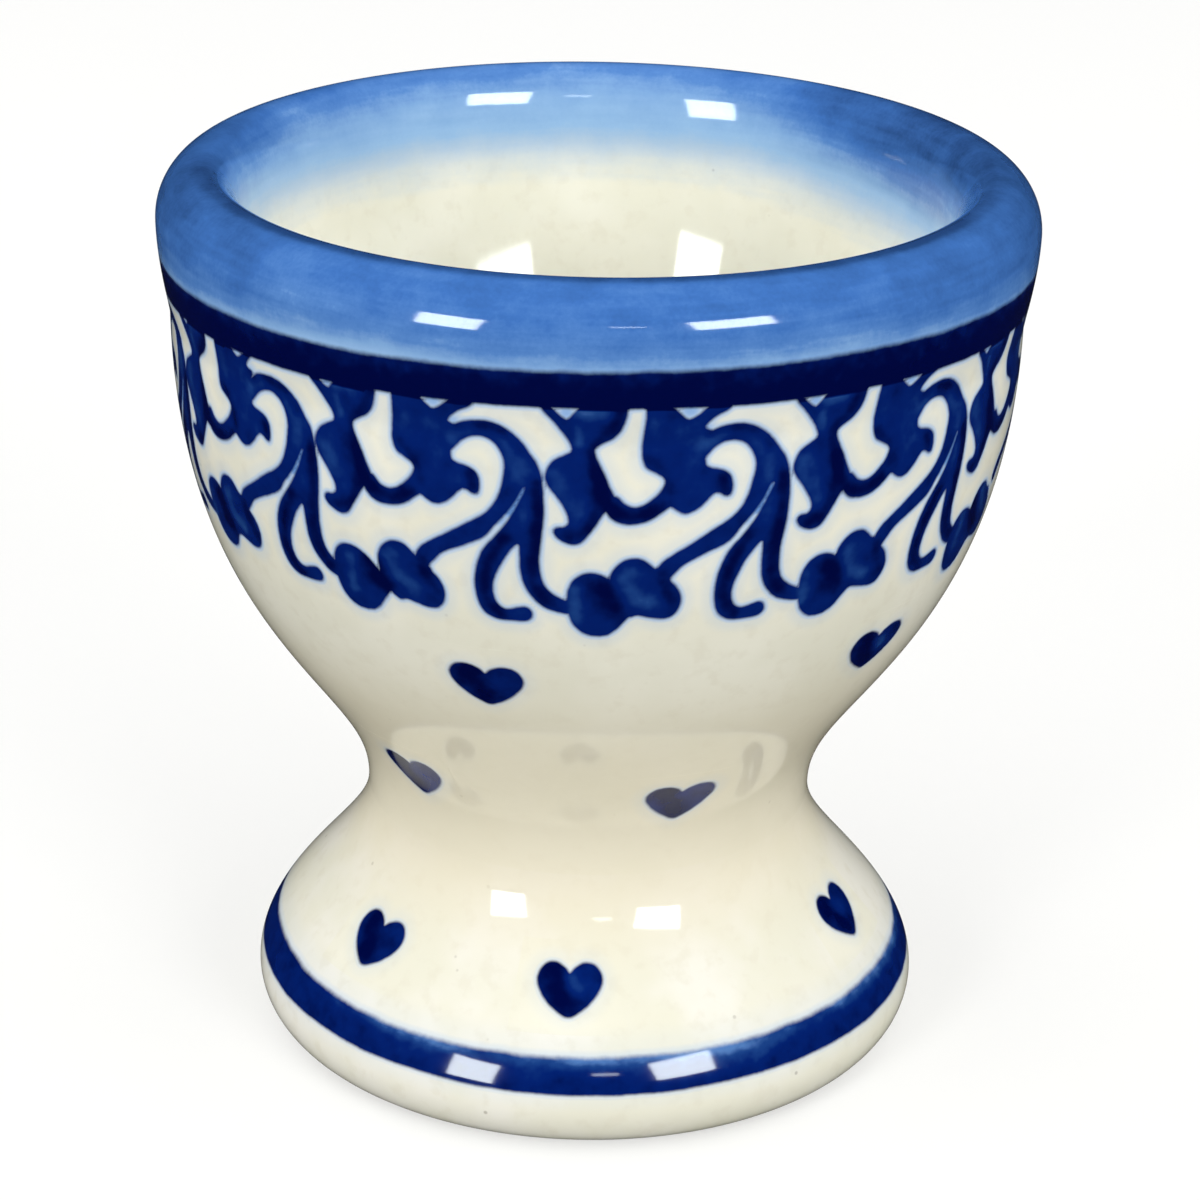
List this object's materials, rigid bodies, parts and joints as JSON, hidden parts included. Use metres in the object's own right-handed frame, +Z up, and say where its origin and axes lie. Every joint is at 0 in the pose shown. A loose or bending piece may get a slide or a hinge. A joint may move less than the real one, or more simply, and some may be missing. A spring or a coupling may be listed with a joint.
{
  "type": "egg cup",
  "caption": "Footed egg cup of glazed stoneware, with a rolled lip, a waisted body, a hollow flared foot and painted folk ornament.",
  "frame": {"origin": "centre of the ring that the cup stands on, at table height", "axes": "+Z up along the turning axis; the side shown in the picture faces -Y"},
  "size_m": [0.053, 0.053, 0.0562],
  "materials": {
    "bowl_glaze": "gloss",
    "foot_glaze": "gloss",
    "slip": "gloss",
    "sprayed_blue": "gloss",
    "collar_navy": "gloss",
    "border_cobalt": "gloss",
    "heart_cobalt": "gloss",
    "foot_navy": "gloss"
  },
  "bodies": {
    "root": {"bowl": "bowl_glaze", "pedestal_foot": "foot_glaze", "joint_slip": "slip", "lip_colour": "sprayed_blue", "collar_band": "collar_navy", "vine_border": "border_cobalt", "scattered_hearts": "heart_cobalt", "foot_band": "foot_navy"}
  },
  "joints": []
}
